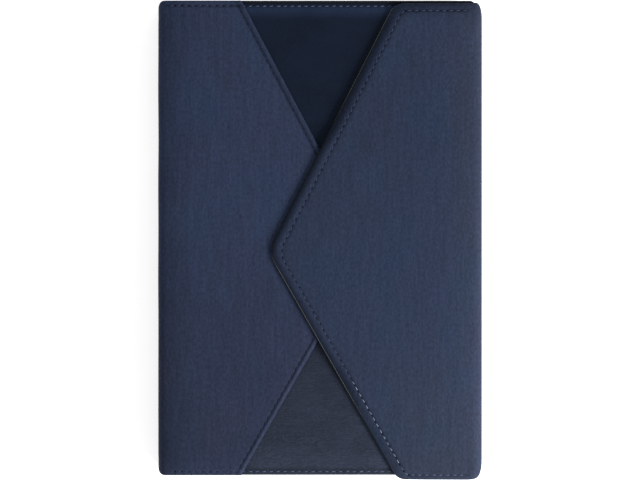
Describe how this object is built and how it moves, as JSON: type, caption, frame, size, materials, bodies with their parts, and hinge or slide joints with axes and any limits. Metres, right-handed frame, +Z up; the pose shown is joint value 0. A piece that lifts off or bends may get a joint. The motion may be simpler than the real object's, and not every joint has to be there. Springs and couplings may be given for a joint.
{
  "type": "tablet keyboard case",
  "caption": "Envelope-style folio for a small tablet: a flap closes a tablet sleeve, and a spine joins the sleeve to a base with a wireless keyboard and a stand groove.",
  "frame": {"origin": "centre of the base cover's outer face, on the table, with the case closed and lying on its keyboard side", "axes": "+X from the spine to the sleeve's mouth, +Y along the spine towards the charging socket, +Z up from the table through the case"},
  "size_m": [0.14, 0.2068, 0.0298],
  "materials": {
    "navy_fabric": "matte",
    "front_leather": "satin",
    "lining_fabric": "matte",
    "greyboard": "matte",
    "case_plastic": "matte",
    "key_plastic": "satin",
    "silicone": "matte",
    "steel": "brushed",
    "nickel": "polished",
    "membrane_film": "gloss",
    "circuit": "gloss",
    "battery_wrap": "gloss",
    "tape": "matte",
    "lens": "gloss"
  },
  "bodies": {
    "base": {"base_cover": "navy_fabric", "base_board": "greyboard", "base_lining": "lining_fabric", "base_magnets": "nickel", "mounting_tape": "tape", "keyboard_bottom_case": "case_plastic", "keyboard_deck": "case_plastic", "groove_pad": "silicone", "bumper_pads": "silicone", "case_screws": "steel", "key_support_plate": "steel", "key_membrane": "membrane_film", "rubber_domes": "silicone", "circuit_board": "circuit", "battery": "battery_wrap", "usb_socket": "nickel", "status_light_lens": "lens", "touchpad": "case_plastic"},
    "spine": {"spine_cover": "navy_fabric", "spine_board": "greyboard", "spine_lining": "lining_fabric"},
    "sleeve": {"sleeve_back_lining": "lining_fabric", "sleeve_back_board": "greyboard", "bay_lining": "lining_fabric", "sleeve_gusset": "navy_fabric", "sleeve_front_board": "greyboard", "sleeve_front_cover": "front_leather", "sleeve_magnets": "nickel", "pocket_lining": "lining_fabric", "pocket_panel": "navy_fabric", "catch_plate": "steel"},
    "mouth_wall": {"mouth_wall_board": "greyboard", "mouth_wall_cover": "navy_fabric"},
    "flap": {"flap_lining": "front_leather", "flap_board": "greyboard", "flap_cover": "navy_fabric", "flap_magnet": "nickel"},
    "power_switch": {"power_switch": "key_plastic"},
    "number_keys": {"number_keys": "key_plastic"},
    "top_letter_keys": {"top_letter_keys": "key_plastic"},
    "home_letter_keys": {"home_letter_keys": "key_plastic"},
    "bottom_letter_keys": {"bottom_letter_keys": "key_plastic"},
    "escape_key": {"escape_key": "key_plastic"},
    "backspace_key": {"backspace_key": "key_plastic"},
    "tab_key": {"tab_key": "key_plastic"},
    "caps_lock_key": {"caps_lock_key": "key_plastic"},
    "enter_key": {"enter_key": "key_plastic"},
    "left_shift_key": {"left_shift_key": "key_plastic"},
    "right_shift_key": {"right_shift_key": "key_plastic"},
    "function_key": {"function_key": "key_plastic"},
    "control_key": {"control_key": "key_plastic"},
    "alt_key": {"alt_key": "key_plastic"},
    "space_bar": {"space_bar": "key_plastic"},
    "menu_key": {"menu_key": "key_plastic"},
    "left_arrow_key": {"left_arrow_key": "key_plastic"},
    "up_arrow_key": {"up_arrow_key": "key_plastic"},
    "down_arrow_key": {"down_arrow_key": "key_plastic"},
    "right_arrow_key": {"right_arrow_key": "key_plastic"},
    "left_click_button": {"left_click_button": "key_plastic"},
    "right_click_button": {"right_click_button": "key_plastic"}
  },
  "joints": [
    {"name": "case_spine_fold", "type": "hinge", "parent": "base", "child": "spine", "pos_m": [-0.067, 0, 0.003], "axis": [0, -1, 0], "range_deg": [0, 90]},
    {"name": "case_sleeve_fold", "type": "hinge", "parent": "spine", "child": "sleeve", "pos_m": [-0.067, 0, 0.0268], "axis": [0, -1, 0], "range_deg": [0, 90]},
    {"name": "flap_wall_fold", "type": "hinge", "parent": "sleeve", "child": "mouth_wall", "pos_m": [0.0676, 0, 0.0133], "axis": [0, 1, 0], "range_deg": [0, 90]},
    {"name": "flap_fold", "type": "hinge", "parent": "mouth_wall", "child": "flap", "pos_m": [0.0676, 0, 0.0277], "axis": [0, 1, 0], "range_deg": [0, 90]},
    {"name": "key_numbers_press", "type": "slide", "parent": "base", "child": "number_keys", "axis": [0, 0, -1], "range_m": [0, 0.0012], "stiffness_N_per_m": 4500, "springref_m": -0.0004},
    {"name": "key_top_letters_press", "type": "slide", "parent": "base", "child": "top_letter_keys", "axis": [0, 0, -1], "range_m": [0, 0.0012], "stiffness_N_per_m": 4950, "springref_m": -0.0004},
    {"name": "key_home_letters_press", "type": "slide", "parent": "base", "child": "home_letter_keys", "axis": [0, 0, -1], "range_m": [0, 0.0012], "stiffness_N_per_m": 4050, "springref_m": -0.0004},
    {"name": "key_bottom_letters_press", "type": "slide", "parent": "base", "child": "bottom_letter_keys", "axis": [0, 0, -1], "range_m": [0, 0.0012], "stiffness_N_per_m": 4050, "springref_m": -0.0004},
    {"name": "key_escape_press", "type": "slide", "parent": "base", "child": "escape_key", "axis": [0, 0, -1], "range_m": [0, 0.0012], "stiffness_N_per_m": 450, "springref_m": -0.0004},
    {"name": "key_backspace_press", "type": "slide", "parent": "base", "child": "backspace_key", "axis": [0, 0, -1], "range_m": [0, 0.0012], "stiffness_N_per_m": 450, "springref_m": -0.0004},
    {"name": "key_tab_press", "type": "slide", "parent": "base", "child": "tab_key", "axis": [0, 0, -1], "range_m": [0, 0.0012], "stiffness_N_per_m": 450, "springref_m": -0.0004},
    {"name": "key_caps_lock_press", "type": "slide", "parent": "base", "child": "caps_lock_key", "axis": [0, 0, -1], "range_m": [0, 0.0012], "stiffness_N_per_m": 450, "springref_m": -0.0004},
    {"name": "key_enter_press", "type": "slide", "parent": "base", "child": "enter_key", "axis": [0, 0, -1], "range_m": [0, 0.0012], "stiffness_N_per_m": 450, "springref_m": -0.0004},
    {"name": "key_left_shift_press", "type": "slide", "parent": "base", "child": "left_shift_key", "axis": [0, 0, -1], "range_m": [0, 0.0012], "stiffness_N_per_m": 450, "springref_m": -0.0004},
    {"name": "key_right_shift_press", "type": "slide", "parent": "base", "child": "right_shift_key", "axis": [0, 0, -1], "range_m": [0, 0.0012], "stiffness_N_per_m": 450, "springref_m": -0.0004},
    {"name": "key_function_press", "type": "slide", "parent": "base", "child": "function_key", "axis": [0, 0, -1], "range_m": [0, 0.0012], "stiffness_N_per_m": 450, "springref_m": -0.0004},
    {"name": "key_control_press", "type": "slide", "parent": "base", "child": "control_key", "axis": [0, 0, -1], "range_m": [0, 0.0012], "stiffness_N_per_m": 450, "springref_m": -0.0004},
    {"name": "key_alt_press", "type": "slide", "parent": "base", "child": "alt_key", "axis": [0, 0, -1], "range_m": [0, 0.0012], "stiffness_N_per_m": 450, "springref_m": -0.0004},
    {"name": "key_space_bar_press", "type": "slide", "parent": "base", "child": "space_bar", "axis": [0, 0, -1], "range_m": [0, 0.0012], "stiffness_N_per_m": 450, "springref_m": -0.0004},
    {"name": "key_menu_press", "type": "slide", "parent": "base", "child": "menu_key", "axis": [0, 0, -1], "range_m": [0, 0.0012], "stiffness_N_per_m": 450, "springref_m": -0.0004},
    {"name": "key_left_arrow_press", "type": "slide", "parent": "base", "child": "left_arrow_key", "axis": [0, 0, -1], "range_m": [0, 0.0012], "stiffness_N_per_m": 450, "springref_m": -0.0004},
    {"name": "key_up_arrow_press", "type": "slide", "parent": "base", "child": "up_arrow_key", "axis": [0, 0, -1], "range_m": [0, 0.0012], "stiffness_N_per_m": 450, "springref_m": -0.0004},
    {"name": "key_down_arrow_press", "type": "slide", "parent": "base", "child": "down_arrow_key", "axis": [0, 0, -1], "range_m": [0, 0.0012], "stiffness_N_per_m": 450, "springref_m": -0.0004},
    {"name": "key_right_arrow_press", "type": "slide", "parent": "base", "child": "right_arrow_key", "axis": [0, 0, -1], "range_m": [0, 0.0012], "stiffness_N_per_m": 450, "springref_m": -0.0004},
    {"name": "pad_left_click_press", "type": "slide", "parent": "base", "child": "left_click_button", "axis": [0, 0, -1], "range_m": [0, 0.0006], "stiffness_N_per_m": 900, "springref_m": -0.0003},
    {"name": "pad_right_click_press", "type": "slide", "parent": "base", "child": "right_click_button", "axis": [0, 0, -1], "range_m": [0, 0.0006], "stiffness_N_per_m": 900, "springref_m": -0.0003},
    {"name": "power_switch_slide", "type": "slide", "parent": "base", "child": "power_switch", "axis": [1, 0, 0], "range_m": [0, 0.0024]}
  ]
}
